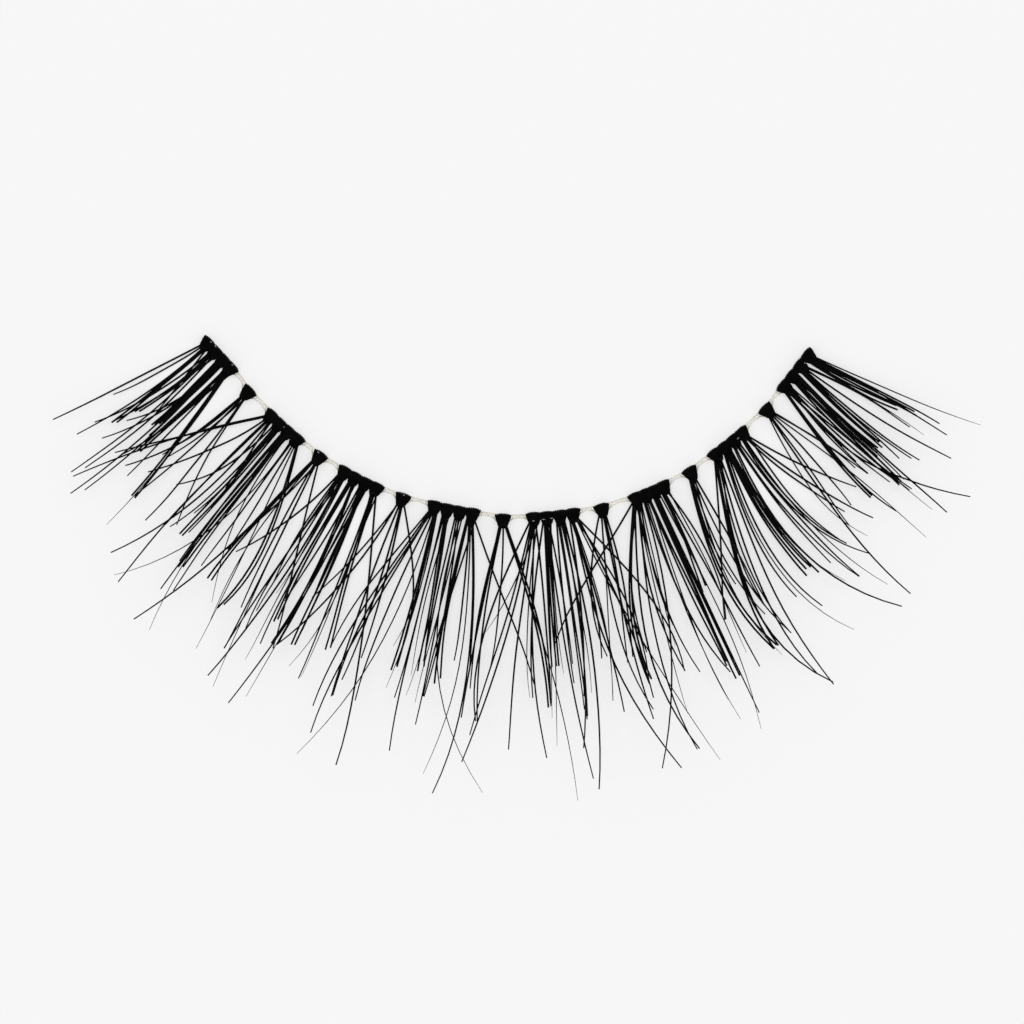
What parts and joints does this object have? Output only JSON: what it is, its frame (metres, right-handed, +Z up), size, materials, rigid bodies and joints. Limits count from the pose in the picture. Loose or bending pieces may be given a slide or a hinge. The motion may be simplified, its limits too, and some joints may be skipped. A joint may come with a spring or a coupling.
{
  "type": "false eyelash strip",
  "caption": "Curved strip of black false lashes for one eye: hair tied in knots on two fine clear threads, in rows and singles, fanning out and curling up.",
  "frame": {"origin": "under the middle of the strip's bounding box, on the surface that the knots rest on", "axes": "+X along the strip from its left end to its right end, +Y towards the eyelid side of the band, +Z up, the way the lashes curl"},
  "size_m": [0.0418, 0.021, 0.0061],
  "materials": {
    "black_hair": "black hair with a soft sheen",
    "clear_thread": "clear nylon thread, faintly cream"
  },
  "bodies": {
    "root": {"base_thread": "clear_thread", "tie_thread": "clear_thread", "knot_bar_1": "black_hair", "knot_bar_2": "black_hair", "knot_bar_3": "black_hair", "knot_bar_4": "black_hair", "knot_bar_5": "black_hair", "knot_bar_6": "black_hair", "knot_bar_7": "black_hair", "knot_bar_8": "black_hair", "single_knot_1": "black_hair", "single_knot_2": "black_hair", "single_knot_3": "black_hair", "single_knot_4": "black_hair", "single_knot_5": "black_hair", "single_knot_6": "black_hair", "single_knot_7": "black_hair"}
  },
  "joints": []
}
